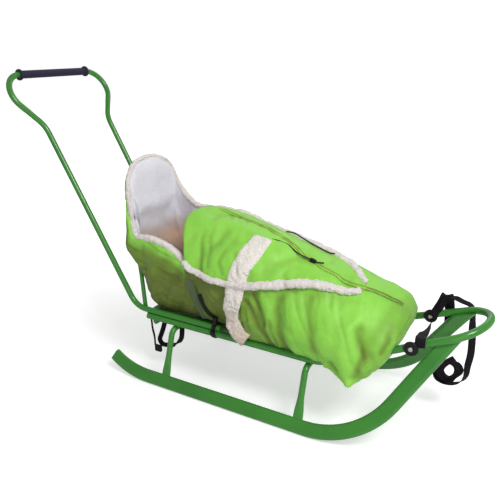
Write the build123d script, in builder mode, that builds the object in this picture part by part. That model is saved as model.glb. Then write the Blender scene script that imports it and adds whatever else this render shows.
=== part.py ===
# Child's sled with a push handle and a fitted footmuff.
# Frame: +X to the front of the sled, +Y to its left, +Z up, millimetres.
# The origin is on the floor, under the middle of the sled's outline.
from build123d import *
import os
from math import sin, cos, tan, radians, sqrt, pi

os.makedirs("parts", exist_ok=True)

# ---- steel sections ----
frame_d = 18.0          # seat frame tube
arch_d = 16.0           # leg arches and rear cross tube
handle_d = 16.0         # push handle tube
hoop_d = 12.0           # backrest hoop tube
runner_h = 37.0         # flat-oval runner tube, on edge
runner_t = 16.0

# ---- stance ----
floor_half = 191.5      # from the middle to a runner's lower edge
lean = 22.5             # runners and legs lean in towards the seat
skid_rear = -255.0      # the flat of the runner starts here
skid_front = 226.0      # and ends here
tail_r = 299.0
tail_sweep = 27.0
nose_r = 248.0
nose_sweep = 60.5
nose_run = 235.0        # straight of the nose, before it is cut under the front bow

# ---- seat frame ----
rail_half = 125.0
rail_z = 174.0
rail_rear = -289.0
rail_bend = 242.0
rail_bend_r = 150.0
rise = 22.7             # the front bow climbs by this
toe = 0.1347            # and its sides close in by this slope
bow_reach = 380.0       # from the bend to the tip of the bow, along the slope

# ---- leg arches ----
arch_rear_x = -195.0
arch_front_x = 208.0
cross_x = -268.0
arch_apex_half = 139.0
arch_bend_r = 24.0
foot_long = 26.0
foot_thick = 9.0
foot_taper = 66.0

# ---- seat ----
slat_w = 62.0
slat_gap = 8.0
slat_rear = -300.0
slat_front = 236.0
slat_t = 17.5

# ---- push handle ----
handle_half = 123.0
handle_front = -48.0
handle_foot_x = -332.0
neck_x, neck_half = -617.5, 126.0
neck_drop = 136.4       # the neck's bend lies this far under the grip
horn_half = 236.0
top_x, top_z = -698.0, 822.0
foot_r, neck_r, horn_r = 60.0, 72.0, 57.0
grip_len = 258.0
grip_d = 22.0
grip_wall_gap = 0.1
flange_d = 31.0
flange_t = 7.0
band_x = -63.0
band_w = 11.0
band_t = 2.5

# ---- backrest hoop ----
hoop_half = 109.5
hoop_foot_front = -215.0
hoop_heel_x = -309.5
hoop_knee_x, hoop_knee_z = -321.5, 290.0
hoop_top_x, hoop_top_z = -358.0, 470.0
hoop_top_half = 92.0

# ---- tow fittings ----
tow_x = 447.0
disc_d = 34.0
disc_t = 7.0
disc_off = 1.5          # how far a disc is let into the tube's side
bolt_d = 6.0
head_d = 11.0
head_h = 3.5
hank_long, hank_wide, hank_tall = 66.0, 34.0, 72.0

# ---- footmuff ----
muff_wall = 20.0        # padded cloth with its plush
seat_clear = 2.5        # between the cloth and the seat under it
seam = 0.5              # between two panels of the cloth
muff_join = -151.0      # the tub behind this, the foot bag ahead of it
lip_reach = 36.0        # the cover's middle reaches back over the lap by this
lip_z = 452.0           # over this height
plush_t = 6.0
strap_d = 8.0           # the free webbing, as plain tubes
cord_d = 4.0

lean_r = radians(lean)
rise_r = radians(rise)
foot_lift = runner_t / 2 * (1 - cos(lean_r))
bow_tip = rail_bend + bow_reach * cos(rise_r) + frame_d / 2
x_shift = round(-(top_x - flange_d / 2 + bow_tip) / 2, 2)     # puts the origin under the middle
seat_cross_z = rail_z - frame_d / 2 - arch_d / 2 + 0.5
slat_z = seat_cross_z + arch_d / 2
seat_top = slat_z + slat_t
handle_z = rail_z + frame_d / 2 + handle_d / 2


def keep(piece, name):
    piece.part = piece.part.moved(Location((x_shift, 0, 0)))
    piece.part.label = name
    export_step(piece.part, f"parts/{name}.step")


# ------------------------------------------------------------------ seat frame
slope_len = sqrt(1 + toe**2)
bow_r = (rail_half - toe * bow_reach) / (slope_len - toe)


def on_slope(u, y, lift=0.0):
    """A point of the front bow's own plane, u along the climb."""
    return (
        rail_bend + u * cos(rise_r) - lift * sin(rise_r),
        y,
        rail_z + u * sin(rise_r) + lift * cos(rise_r),
    )


bow_u = bow_reach - bow_r + bow_r * toe / slope_len
bow_y = bow_r / slope_len


def seat_tube(diameter):
    with BuildPart() as tube:
        with BuildLine() as run:
            right = FilletPolyline(
                (rail_rear, -rail_half, rail_z),
                (rail_bend, -rail_half, rail_z),
                on_slope(bow_u, -bow_y),
                radius=rail_bend_r,
            )
            ThreePointArc(right @ 1, on_slope(bow_reach, 0), on_slope(bow_u, bow_y))
            FilletPolyline(
                on_slope(bow_u, bow_y),
                (rail_bend, rail_half, rail_z),
                (rail_rear, rail_half, rail_z),
                radius=rail_bend_r,
            )
        with BuildSketch(Plane(origin=right @ 0, z_dir=right % 0)):
            Circle(diameter / 2)
        sweep()
    return tube


seat_frame = seat_tube(frame_d)

# --------------------------------------------------------------------- runners
x_axis = Vector(1, 0, 0)


def runner_plane(side):
    up = Vector(0, -side * sin(lean_r), cos(lean_r))
    return Plane(
        origin=(0, side * floor_half, foot_lift), x_dir=x_axis, z_dir=x_axis.cross(up)
    )


def runner(side):
    plane = runner_plane(side)
    mid = runner_h / 2
    a, b = radians(tail_sweep), radians(nose_sweep)
    with BuildPart() as bar:
        with BuildLine(plane) as run:
            tail = ThreePointArc(
                (skid_rear - (tail_r - mid) * sin(a), tail_r - (tail_r - mid) * cos(a)),
                (
                    skid_rear - (tail_r - mid) * sin(a / 2),
                    tail_r - (tail_r - mid) * cos(a / 2),
                ),
                (skid_rear, mid),
            )
            Line((skid_rear, mid), (skid_front, mid))
            turn = (
                skid_front + (nose_r - mid) * sin(b),
                nose_r - (nose_r - mid) * cos(b),
            )
            ThreePointArc(
                (skid_front, mid),
                (
                    skid_front + (nose_r - mid) * sin(b / 2),
                    nose_r - (nose_r - mid) * cos(b / 2),
                ),
                turn,
            )
            Line(turn, (turn[0] + nose_run * cos(b), turn[1] + nose_run * sin(b)))
        start, along = tail @ 0, tail % 0
        across = plane.z_dir.cross(along)
        with BuildSketch(Plane(origin=start, x_dir=across, z_dir=along)):
            SlotOverall(runner_h, runner_t)
        sweep()
        # the nose is sawn off level with the underside of the front bow and coped to it
        with Locations(
            Plane(
                origin=on_slope(bow_u, 0, -frame_d / 2 + 5.0),
                x_dir=(cos(rise_r), 0, sin(rise_r)),
                z_dir=(-sin(rise_r), 0, cos(rise_r)),
            )
        ):
            Box(
                260, 500, 200,
                align=(Align.CENTER, Align.CENTER, Align.MIN),
                mode=Mode.SUBTRACT,
            )
        add(seat_frame.part, mode=Mode.SUBTRACT)
    return bar


runner_right = runner(-1)
runner_left = runner(1)


# ---------------------------------------------------------------------- arches
def arch(x, runners):
    foot_y = floor_half - runner_h * sin(lean_r)
    foot_z = foot_lift + runner_h * cos(lean_r)
    leg = Vector(0, foot_y - arch_apex_half, foot_z - seat_cross_z).normalized()
    root = Vector(x, foot_y, foot_z) + leg * 4.0
    neck = Vector(x, foot_y, foot_z) - leg * foot_taper
    with BuildPart() as bent:
        with BuildLine():
            path = FilletPolyline(
                (x, -neck.Y, neck.Z),
                (x, -arch_apex_half, seat_cross_z),
                (x, arch_apex_half, seat_cross_z),
                (x, neck.Y, neck.Z),
                radius=arch_bend_r,
            )
        with BuildSketch(Plane(origin=path @ 0, x_dir=(1, 0, 0), z_dir=path % 0)):
            Circle(arch_d / 2)
        sweep()
        # each leg is pressed flat towards its foot
        for side in (-1, 1):
            axis = Vector(0, side * leg.Y, leg.Z)
            top = Vector(x, side * neck.Y, neck.Z)
            low = Vector(x, side * root.Y, root.Z)
            rings = []
            for origin, half_x, half_y in (
                (top, arch_d / 2, arch_d / 2),
                (top + axis * 16, arch_d / 2 + 0.6, arch_d / 2 - 0.6),
                (low - axis * 16, foot_long / 2, foot_thick / 2),
                (low, foot_long / 2, foot_thick / 2),
            ):
                with BuildSketch(Plane(origin=origin, x_dir=(1, 0, 0), z_dir=axis)) as ring:
                    Ellipse(half_x, half_y)
                rings.append(ring.sketch)
            loft(rings)
        add(seat_frame.part, mode=Mode.SUBTRACT)
        for one in runners:
            add(one.part, mode=Mode.SUBTRACT)
    return bent


arch_rear = arch(arch_rear_x, (runner_right, runner_left))
arch_front = arch(arch_front_x, (runner_right, runner_left))

with BuildPart() as rear_cross_tube:
    with BuildSketch(Plane.XZ.offset(-rail_half + 4)):
        with Locations((cross_x, seat_cross_z)):
            Circle(arch_d / 2)
    extrude(amount=2 * (rail_half - 4))
    add(seat_frame.part, mode=Mode.SUBTRACT)

# ----------------------------------------------------------------------- slats
slats = []
for place in (-1, 0, 1):
    with BuildPart() as slat:
        with BuildSketch(Plane.XY.offset(slat_z)):
            with Locations(((slat_rear + slat_front) / 2, place * (slat_w + slat_gap))):
                RectangleRounded(slat_front - slat_rear, slat_w, 14)
        extrude(amount=slat_t)
        fillet(slat.faces().sort_by(Axis.Z)[-1].edges(), 4)
        fillet(slat.faces().sort_by(Axis.Z)[0].edges(), 2)
    slats.append(slat)

# --------------------------------------------------------------- backrest hoop
def hoop_tube(diameter):
    with BuildPart() as tube:
        with BuildLine():
            half = [
                (hoop_foot_front, hoop_half, rail_z),
                (hoop_heel_x, hoop_half, rail_z),
                (hoop_knee_x, hoop_half - 4, hoop_knee_z),
                (hoop_top_x, hoop_top_half, hoop_top_z),
            ]
            path = FilletPolyline(
                *[(x, -y, z) for x, y, z in half],
                *half[::-1],
                radius=[26, 200, 38, 38, 200, 26],
            )
        with BuildSketch(Plane(origin=path @ 0, z_dir=path % 0)):
            Circle(diameter / 2)
        sweep()
    return tube


backrest_hoop = hoop_tube(hoop_d)

# ----------------------------------------------------------------- push handle
with BuildPart() as push_handle:
    with BuildLine():
        half = [
            (handle_front, handle_half, handle_z),
            (handle_foot_x, handle_half, handle_z),
            (neck_x, neck_half, top_z - neck_drop),
            (top_x, horn_half, top_z),
        ]
        path = FilletPolyline(
            *[(x, -y, z) for x, y, z in half],
            *half[::-1],
            radius=[foot_r, neck_r, horn_r, horn_r, neck_r, foot_r],
        )
    with BuildSketch(Plane(origin=path @ 0, z_dir=path % 0)):
        Circle(handle_d / 2)
    sweep()

with BuildPart() as handle_grip:
    bore = handle_d / 2 + grip_wall_gap
    with BuildSketch(Plane.XY) as half_section:
        with BuildLine():
            Polyline(
                (bore, 0),
                (grip_d / 2, 0),
                (grip_d / 2, grip_len / 2 - flange_t),
                (flange_d / 2, grip_len / 2 - flange_t + 2),
                (flange_d / 2, grip_len / 2),
                (bore, grip_len / 2),
                close=True,
            )
        make_face()
        fillet(half_section.vertices().sort_by(Axis.X)[-2:], 1.5)
    revolve(axis=Axis.Y)
    mirror(about=Plane.XZ)
handle_grip.part = handle_grip.part.moved(Location((top_x, 0, top_z)))

bands = {}
for name, side in (("right", -1), ("left", 1)):
    mid_z = (rail_z - frame_d / 2 + handle_z + handle_d / 2) / 2
    tall = frame_d + handle_d
    with BuildPart() as band:
        with BuildSketch(Plane.YZ.offset(band_x - band_w / 2)):
            with Locations((side * (rail_half + handle_half) / 2, mid_z)):
                SlotOverall(tall + 2 * band_t + 1, frame_d + 2 * band_t + 4, rotation=90)
                SlotOverall(tall + 1, frame_d + 4, rotation=90, mode=Mode.SUBTRACT)
        extrude(amount=band_w)
        # the clamp screw and its knob stand out at the joint of the two tubes
        with BuildSketch(Plane.XZ.offset(-side * ((rail_half + handle_half) / 2 + frame_d / 2 + band_t + 1.5))):
            with Locations((band_x, mid_z)):
                RegularPolygon(7, 6)
        extrude(amount=-side * 6)
        fillet(band.faces().sort_by(Axis.Y)[0 if side < 0 else -1].edges(), 0.8)
    bands[name] = band

# --------------------------------------------------------------- tow fittings
tow_u = (tow_x - rail_bend) / cos(rise_r)
tow_y = rail_half - toe * tow_u
tow_seat = on_slope(tow_u, 0)
discs, bolts = {}, {}
for name, side in (("right", -1), ("left", 1)):
    centre = (tow_seat[0], tow_seat[2])
    face = side * tow_y - frame_d / 2          # both discs sit on the right-hand face
    with BuildPart() as disc:
        with BuildSketch(Plane.XZ.offset(-(face + disc_off))):
            with Locations(centre):
                Circle(disc_d / 2)
                Circle(bolt_d / 2 + 0.1, mode=Mode.SUBTRACT)
        extrude(amount=disc_t)
        fillet(disc.edges().filter_by(GeomType.CIRCLE).sort_by(SortBy.RADIUS)[-2:], 2)
        add(seat_tube(frame_d + 0.4).part, mode=Mode.SUBTRACT)
    with BuildPart() as bolt:
        with BuildSketch(Plane.XZ.offset(-(face + disc_off - disc_t))):
            with Locations(centre):
                Circle(head_d / 2)
        extrude(amount=head_h)
        fillet(bolt.edges().sort_by(Axis.Y)[0], 2.2)
        with BuildSketch(Plane.XZ.offset(-(face + disc_off - disc_t))):
            with Locations(centre):
                Circle(bolt_d / 2)
        extrude(amount=-(disc_t - disc_off - 0.3))
        add(seat_tube(frame_d + 0.4).part, mode=Mode.SUBTRACT)
    discs[name], bolts[name] = disc, bolt


# -------------------------------------------------------------------- footmuff
# one row for each rib of the foot bag: its place along the sled, then across and up
# to the keel, to the bottom corner, the widest point and the shoulder on the right,
# to the crest, and to the shoulder, the widest point and the bottom corner on the left
ribs = (
    (muff_join, (0, 150), (68, 164), (131, 290), (108, 408), (5, 476), (105, 425), (130, 290), (68, 164)),
    (-60, (0, 150), (80, 164), (135, 280), (112, 395), (5, 464), (108, 412), (134, 280), (80, 164)),
    (40, (0, 150), (108, 164), (143, 255), (110, 385), (8, 441), (104, 398), (142, 255), (106, 164)),
    (140, (0, 150), (116, 164), (149, 245), (92, 368), (22, 411), (97, 382), (146, 250), (110, 164)),
    (215, (0, 150), (122, 162), (153, 232), (88, 350), (38, 383), (99, 362), (146, 245), (112, 166)),
    (265, (0, 156), (134, 160), (156, 215), (94, 333), (40, 364), (102, 346), (143, 255), (112, 176)),
    (322, (0, 178), (146, 152), (156, 187), (102, 308), (42, 346), (100, 330), (136, 277), (112, 204)),
    (365, (0, 200), (132, 180), (143, 222), (100, 288), (45, 331), (98, 318), (122, 282), (98, 222)),
    (400, (0, 220), (112, 224), (119, 256), (86, 284), (40, 308), (92, 301), (108, 276), (86, 232)),
    (416, (0, 230), (92, 238), (110, 264), (84, 275), (30, 287), (80, 284), (95, 271), (72, 240)),
)


def rib(row, grow=0.0):
    x = row[0]
    pts = [(-y, z) for y, z in row[1:5]] + list(row[5:])
    mid_y = sum(y for y, z in pts) / len(pts)
    mid_z = sum(z for y, z in pts) / len(pts)
    out = []
    for y, z in pts:
        reach = sqrt((y - mid_y) ** 2 + (z - mid_z) ** 2)
        k = (reach + grow) / reach
        out.append((mid_y + (y - mid_y) * k, mid_z + (z - mid_z) * k))
    with BuildSketch(Plane.YZ.offset(x)) as face:
        with BuildLine():
            Spline(*out, periodic=True)
        make_face()
    return face.sketch


def foot_bag(grow=0.0):
    with BuildPart() as bag:
        loft([rib(row, grow) for row in ribs], ruled=True)
    return bag


muff_floor = seat_top + seat_clear
with BuildPart() as bag_solid:
    loft([rib(row) for row in ((muff_join - lip_reach,) + ribs[0][1:],) + ribs], ruled=True)
with BuildPart() as room:
    rooms = []
    for x, half, low, high, r in (
        (muff_join - lip_reach - 5, 104, muff_floor + muff_wall, 452, 80),
        (40, 112, muff_floor + muff_wall, 408, 84),
        (140, 108, muff_floor + muff_wall + 2, 378, 80),
        (275, 72, muff_floor + muff_wall + 28, 318, 38),
    ):
        with BuildSketch(Plane.YZ.offset(x)) as face:
            with Locations((6, (low + high) / 2)):
                RectangleRounded(2 * half, high - low, r)
        rooms.append(face.sketch)
    loft(rooms, ruled=True)

with BuildPart() as seat_room:
    # what the cloth lies on: it stays above the seat and above the climbing bow, and
    # only its right-hand corner hangs down, outside the bow's tube
    with Locations(((slat_rear + rail_bend) / 2 - 60, 0, 0)):
        Box(
            rail_bend - slat_rear + 120, 400, muff_floor,
            align=(Align.CENTER, Align.CENTER, Align.MIN),
        )
with BuildPart() as bow_room:
    with BuildSketch(
        Plane(
            origin=on_slope(0, 0, muff_floor - rail_z + 2),
            x_dir=(cos(rise_r), 0, sin(rise_r)),
            z_dir=(-sin(rise_r), 0, cos(rise_r)),
        )
    ):
        with BuildLine():
            edge = rail_half + muff_floor - rail_z
            Polyline(
                (-8, -edge), (bow_u, -edge + toe * bow_u), (bow_u, 200), (-8, 200), close=True
            )
        make_face()
    extrude(amount=-140)
    with Locations((rail_bend + 30, 0, 0)):
        Box(70, 2 * edge, 155, align=(Align.CENTER, Align.CENTER, Align.MIN))

trim_line = (
    (muff_join, 354), (-84, 333), (-27, 331), (46, 340), (122, 352), (193, 357),
    (261, 342), (304, 344),
)



def over_trim(drop):
    low = [(x, z - drop) for x, z in trim_line]
    with BuildPart() as above:
        with BuildSketch(Plane.XZ.offset(-200)):
            with BuildLine():
                Polyline(
                    *low, (306 + drop, low[-1][1]), (306 + drop, 600),
                    (muff_join - lip_reach - 10, 600), (muff_join - lip_reach - 10, low[0][1]),
                    close=True,
                )
            make_face()
        extrude(amount=400)
    return above



with BuildPart() as shell_front:
    add(bag_solid.part)
    add(room.part, mode=Mode.SUBTRACT)
    add(seat_room.part, mode=Mode.SUBTRACT)
    add(bow_room.part, mode=Mode.SUBTRACT)
    # only the cover's lip reaches back over the lap
    with Locations((muff_join - lip_reach - 1, 0, 0)):
        Box(
            lip_reach + 1, 400, lip_z,
            align=(Align.MIN, Align.CENTER, Align.MIN), mode=Mode.SUBTRACT,
        )
with BuildPart() as footmuff_foot:
    add(shell_front.part)
    add(over_trim(seam).part, mode=Mode.SUBTRACT)
with BuildPart() as footmuff_cover:
    add(shell_front.part)
    add(over_trim(0).part, mode=Mode.INTERSECT)

# the tub round the seat, with its tall back; levels: height, rear, right, left, corner
levels = (
    (muff_floor, -286, 84, 84, 26),
    (215, -302, 106, 108, 38),
    (299, -325, 127, 128, 45),
    (338, -350, 130, 129, 46),
    (366, -370, 130, 129, 48),
    (450, -371, 123, 120, 50),
    (520, -373, 112, 98, 45),
    (575, -369, 90, 80, 42),
    (607, -360, 44, 44, 26),
)


def tub(inset, start):
    with BuildPart() as block:
        faces = []
        for z, rear, right, left, r in levels[start:]:
            front = muff_join + (60 if inset else 0)
            x0, x1 = rear + inset, front
            y0, y1 = -right + inset, left - inset
            with BuildSketch(Plane.XY.offset(z)) as face:
                with Locations(((x0 + x1) / 2, (y0 + y1) / 2)):
                    RectangleRounded(x1 - x0, y1 - y0, min(r, (y1 - y0) / 2 - 1))
            faces.append(face.sketch)
        loft(faces, ruled=True)
    return block


rim_right = (
    (muff_join, 350), (-174, 366), (-196, 383), (-226, 394), (-255, 402), (-286, 403),
    (-321, 399), (-342, 410), (-346, 640),
)
rim_left = (
    (muff_join, 445), (-262, 447), (-285, 461), (-324, 500), (-342, 530), (-350, 566), (-352, 640),
)
with BuildPart() as tub_shell:
    add(tub(0, 0).part)
    with Locations((muff_join - seam + 50, 0, muff_floor)):
        Box(100, 400, 600, align=(Align.CENTER, Align.CENTER, Align.MIN), mode=Mode.SUBTRACT)
    with BuildPart(mode=Mode.SUBTRACT):
        faces = []
        for z, rear, right, left, r in levels:
            x0, x1 = rear + muff_wall + 2, muff_join + 80
            y0, y1 = -right + muff_wall, left - muff_wall
            z = max(z, muff_floor + muff_wall) if z < 210 else z
            with BuildSketch(Plane.XY.offset(z if z < 600 else z + 20)) as face:
                with Locations(((x0 + x1) / 2, (y0 + y1) / 2)):
                    RectangleRounded(x1 - x0, y1 - y0, min(r, (y1 - y0) / 2 - 1, 60) * 0.8)
            faces.append(face.sketch)
        loft(faces, ruled=True)
    for side, rim in ((-1, rim_right), (1, rim_left)):
        with BuildSketch(Plane.XZ):
            with BuildLine():
                Polyline(*rim, (muff_join + 20, 640), (muff_join + 20, rim[0][1]), close=True)
            make_face()
        extrude(amount=-side * 200, mode=Mode.SUBTRACT)
    add(hoop_tube(hoop_d + 2 * seam).part, mode=Mode.SUBTRACT)
back_line = ((-255, 150), (-262, 215), (-298, 300), (-322, 400), (-326, 450), (-326, 650))


def behind(forward):
    with BuildPart() as slab:
        with BuildSketch(Plane.XZ.offset(-200)):
            with BuildLine():
                Polyline(
                    *[(x + forward, z) for x, z in back_line], (-420, 650), (-420, 150), close=True
                )
            make_face()
        extrude(amount=400)
    return slab


with BuildPart() as footmuff_back:
    add(tub_shell.part)
    add(behind(0).part, mode=Mode.INTERSECT)
with BuildPart() as footmuff_tub:
    add(tub_shell.part)
    add(behind(seam).part, mode=Mode.SUBTRACT)

# plush straps from the middle of the cover down to the rails
straps = {}
big = foot_bag(plush_t)
bag_skin = foot_bag(seam)
for name, side, edge in (
    ("right", -1, ((8, 470), (-5, 395), (-20, 340), (-28, 290), (-28, 243), (-4, 197),
                   (48, 197), (26, 243), (26, 290), (34, 340), (46, 395), (60, 470))),
    ("left", 1, ((66, 470), (52, 395), (34, 340), (24, 290), (22, 243), (22, 225),
                 (74, 225), (76, 243), (78, 290), (88, 340), (104, 395), (118, 470))),
):
    with BuildPart() as strap:
        with BuildSketch(Plane.XZ.offset(-side * 42)):
            with BuildLine():
                Polyline(*edge, close=True)
            make_face()
        extrude(amount=-side * 140)
        add(big.part, mode=Mode.INTERSECT)
        add(bag_skin.part, mode=Mode.SUBTRACT)
    straps[name] = strap

# ----------------------------------------------------------- free cords and webbing
def route(points, diameter):
    """A plain tube along a cord's route, each bend as large as its two runs allow."""
    pts = [Vector(*p) for p in points]
    radii = []
    for a, b, c in zip(pts, pts[1:], pts[2:]):
        turn = (b - a).get_angle(c - b)
        radii.append(0.45 * min((b - a).length, (c - b).length) / tan(radians(turn / 2)))
    print("radii", [round(r) for r in radii])
    with BuildPart() as tube:
        with BuildLine():
            path = FilletPolyline(*points, radius=radii)
        with BuildSketch(Plane(origin=path @ 0, z_dir=path % 0)):
            Circle(diameter / 2)
        sweep()
    return tube


drawcord_right = route(
    (
        (58, -38, 434.5), (68, -31, 432.5), (81, -28.5, 429), (99, -25.5, 424), (117, -32.5, 415.6),
        (132, -36.5, 409), (147, -37.4, 404), (160, -36.5, 401), (187, -36.5, 393.5), (197, -24, 391.5),
    ),
    cord_d,
)
drawcord_left = route(
    (
        (64, 34, 436), (78, 36, 436.5), (95, 38, 431.5), (106, 38, 425.5), (119, 38, 421),
        (130, 37, 416.5), (141, 35, 413), (165, 34, 405.5), (184, 35, 398.8), (193, 38, 396), (200, 42, 396),
    ),
    cord_d,
)
with BuildPart() as cord_lock:
    slope = (27, 0, -7.5)
    with BuildSketch(Plane(origin=(173.5, -36.5, 397.25), x_dir=(0, 1, 0), z_dir=slope)):
        Circle(5.5)
    extrude(amount=8, both=True)
    fillet(cord_lock.edges(), 2)
    add(drawcord_right.part, mode=Mode.SUBTRACT)

tow_bridle = route(
    (
        (466, -108, 268), (465, -105, 281), (462, -88, 285), (459, -58, 274), (458, -22, 266),
        (455, 20, 258), (452, 55, 249), (450, 77, 241),
    ),
    strap_d,
)
tow_strap = route(
    (
        (466, 79, 284), (474, 79, 304), (484, 80, 320), (500, 82, 322), (518, 86, 315),
        (534, 94, 309), (544, 100, 294), (544, 100, 268), (546, 99, 242), (550, 98, 212),
        (552, 96, 186), (551.5, 91.5, 162), (549, 88, 140), (549, 83, 119),
    ),
    strap_d,
)
with BuildPart() as tow_strap_hank:
    with BuildSketch(Plane.XZ.offset(-(82 - hank_wide / 2))):
        with Locations((508, 156 - hank_tall / 2)):
            RectangleRounded(hank_long, hank_tall, 16)
    extrude(amount=-hank_wide)
    fillet(tow_strap_hank.edges(), 8)
belt_slack = route(
    (
        (-251, -98, slat_z - 1), (-255, -98, 142), (-267, -98, 109), (-277, -98, 88), (-268, -98, 74),
        (-245, -98, 77), (-218, -101, 85), (-196, -107, 104), (-182, -113, 128), (-181, -113, slat_z - 1),
    ),
    strap_d,
)
with BuildPart() as belt_buckle:
    with Locations((-282, -98, 57)):
        Box(22, 9, 20)
    fillet(belt_buckle.edges(), 2)

keep(seat_frame, "seat_frame")
keep(runner_right, "runner_right")
keep(runner_left, "runner_left")
keep(arch_rear, "arch_rear")
keep(arch_front, "arch_front")
keep(rear_cross_tube, "rear_cross_tube")
for number, slat in enumerate(slats, 1):
    keep(slat, f"seat_slat_{number}")
keep(backrest_hoop, "backrest_hoop")
keep(push_handle, "push_handle")
keep(handle_grip, "handle_grip")
for name in ("right", "left"):
    keep(bands[name], f"handle_clamp_{name}")
    keep(discs[name], f"tow_disc_{name}")
    keep(bolts[name], f"tow_bolt_{name}")
keep(footmuff_foot, "footmuff_foot")
keep(footmuff_cover, "footmuff_cover")
keep(footmuff_tub, "footmuff_tub")
keep(footmuff_back, "footmuff_back")
keep(straps["right"], "plush_strap_right")
keep(straps["left"], "plush_strap_left")
keep(drawcord_right, "drawcord_right")
keep(drawcord_left, "drawcord_left")
keep(cord_lock, "cord_lock")
keep(tow_bridle, "tow_bridle")
keep(tow_strap, "tow_strap")
keep(tow_strap_hank, "tow_strap_hank")
keep(belt_slack, "belt_slack")
keep(belt_buckle, "belt_buckle")
print("shift", x_shift)
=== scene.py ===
from math import pi, radians

import bmesh
import bpy
import numpy as np
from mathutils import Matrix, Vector, noise


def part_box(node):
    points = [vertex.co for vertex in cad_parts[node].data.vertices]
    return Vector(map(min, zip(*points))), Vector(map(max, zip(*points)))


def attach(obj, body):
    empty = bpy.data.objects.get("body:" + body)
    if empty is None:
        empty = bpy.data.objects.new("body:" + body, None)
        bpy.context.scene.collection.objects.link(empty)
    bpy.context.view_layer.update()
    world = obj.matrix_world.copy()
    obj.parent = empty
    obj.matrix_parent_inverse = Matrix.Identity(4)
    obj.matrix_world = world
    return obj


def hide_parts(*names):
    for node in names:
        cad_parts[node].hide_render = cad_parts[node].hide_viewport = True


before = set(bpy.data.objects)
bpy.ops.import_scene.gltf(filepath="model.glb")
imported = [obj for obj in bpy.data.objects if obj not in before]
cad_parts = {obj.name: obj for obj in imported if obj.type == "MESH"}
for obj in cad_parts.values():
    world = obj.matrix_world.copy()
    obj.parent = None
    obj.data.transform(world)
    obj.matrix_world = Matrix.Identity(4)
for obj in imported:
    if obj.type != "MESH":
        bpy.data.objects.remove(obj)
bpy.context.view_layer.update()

# Lengths are in millimetres from the seat's own zero, which lies SHIFT ahead of the
# frame's origin; place() turns them into metres in the row frame.
SHIFT = 55.97
UP = (0.0, 0.0, 1.0)
FAR = 1e9
TINY = 1e-9
scene = bpy.context.scene


def place(x, y, z):
    return Vector(((x + SHIFT) / 1000, y / 1000, z / 1000))


def added(name, data):
    """A new object in the scene."""
    obj = bpy.data.objects.new(name, data)
    scene.collection.objects.link(obj)
    return obj


# ---- camera
CAMERA_AT = (692.8, -1277.0, 903.6)
LOOKS_DOWN, TURNED_LEFT = 19.7, 29.4
LENS = 41.4576
camera = added("camera", bpy.data.cameras.new("camera"))
scene.camera = camera
camera.location = place(*CAMERA_AT)
camera.rotation_euler = (radians(90 - LOOKS_DOWN), 0, radians(TURNED_LEFT))
camera.data.sensor_width = 36
camera.data.lens = LENS
camera.data.clip_end = 50
scene.view_settings.view_transform = "Standard"


# ---- materials
def linear(code):
    """An sRGB hex colour as linear RGBA."""
    parts = [int(code[i : i + 2], 16) / 255 for i in (0, 2, 4)]
    return [c / 12.92 if c <= 0.04045 else ((c + 0.055) / 1.055) ** 2.4 for c in parts] + [1.0]


class Finish:
    """A material with its Principled node, and a short way to add nodes to it."""

    def __init__(self, name, colour, roughness, **values):
        self.material = bpy.data.materials.new(name)
        self.material.use_nodes = True
        self.tree = self.material.node_tree
        self.shader = self.tree.nodes["Principled BSDF"]
        self.set(**{"Base Color": linear(colour), "Roughness": roughness, **values})

    def set(self, **values):
        for key, value in values.items():
            self.shader.inputs[key].default_value = value

    def node(self, kind, inputs=(), **settings):
        """A new node; an input takes a value, or another node's socket as its link."""
        made = self.tree.nodes.new("ShaderNode" + kind)
        for key, value in settings.items():
            setattr(made, key, value)
        for key, value in dict(inputs).items():
            if isinstance(value, bpy.types.NodeSocket):
                self.tree.links.new(value, made.inputs[key])
            else:
                made.inputs[key].default_value = value
        return made

    def link(self, socket, name):
        self.tree.links.new(socket, self.shader.inputs[name])

    def spots(self, scale, detail=3.0, roughness=0.6, stretch=(1, 1, 1)):
        """Even noise over the piece."""
        where = self.node("TexCoord").outputs["Object"]
        if stretch != (1, 1, 1):
            where = self.node("Mapping", {"Vector": where, "Scale": stretch}).outputs[0]
        return self.node(
            "TexNoise",
            {"Vector": where, "Scale": scale, "Detail": detail, "Roughness": roughness},
        ).outputs[0]

    def mix(self, factor, low, high, start=0.35, end=0.65):
        """A colour that goes from low to high while factor goes from start to end."""
        ramp = self.node("ValToRGB", {"Fac": factor})
        ramp.color_ramp.elements[0].position, ramp.color_ramp.elements[1].position = start, end
        ramp.color_ramp.elements[0].color = linear(low)
        ramp.color_ramp.elements[1].color = linear(high)
        return ramp.outputs[0]

    def blend(self, factor, low, high):
        """The colour that lies factor of the way from low to high."""
        mixer = self.node("Mix", {0: factor, 6: low, 7: high}, data_type="RGBA")
        return mixer.outputs[2]

    def bump(self, height, strength, distance, below=None):
        inputs = {"Height": height, "Strength": strength, "Distance": distance}
        if below is not None:
            inputs["Normal"] = below
        return self.node("Bump", inputs).outputs[0]


def enamel():
    # glossy green enamel on steel tube
    m = Finish("green_enamel", "3C8F2C", 0.27, **{"Coat Weight": 0.25, "Coat Roughness": 0.12})
    m.link(m.mix(m.spots(6), "33802A", "3D8E2D"), "Base Color")
    m.link(m.bump(m.spots(420, 2), 0.05, 0.0004), "Normal")
    return m.material


def slat_paint():
    # satin green paint on wooden slats, with a faint grain
    m = Finish("slat_paint", "4D7A45", 0.42)
    grain = m.spots(26, 4, 0.6, (0.6, 14, 14))
    m.link(m.mix(grain, "456F3E", "56834C"), "Base Color")
    m.link(m.bump(grain, 0.15, 0.0006), "Normal")
    return m.material


def grained(name, colour, roughness, scale, detail, strength, depth, **values):
    """A material with a fine even grain in its surface."""
    m = Finish(name, colour, roughness, **values)
    m.link(m.bump(m.spots(scale, detail), strength, depth), "Normal")
    return m.material


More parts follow.
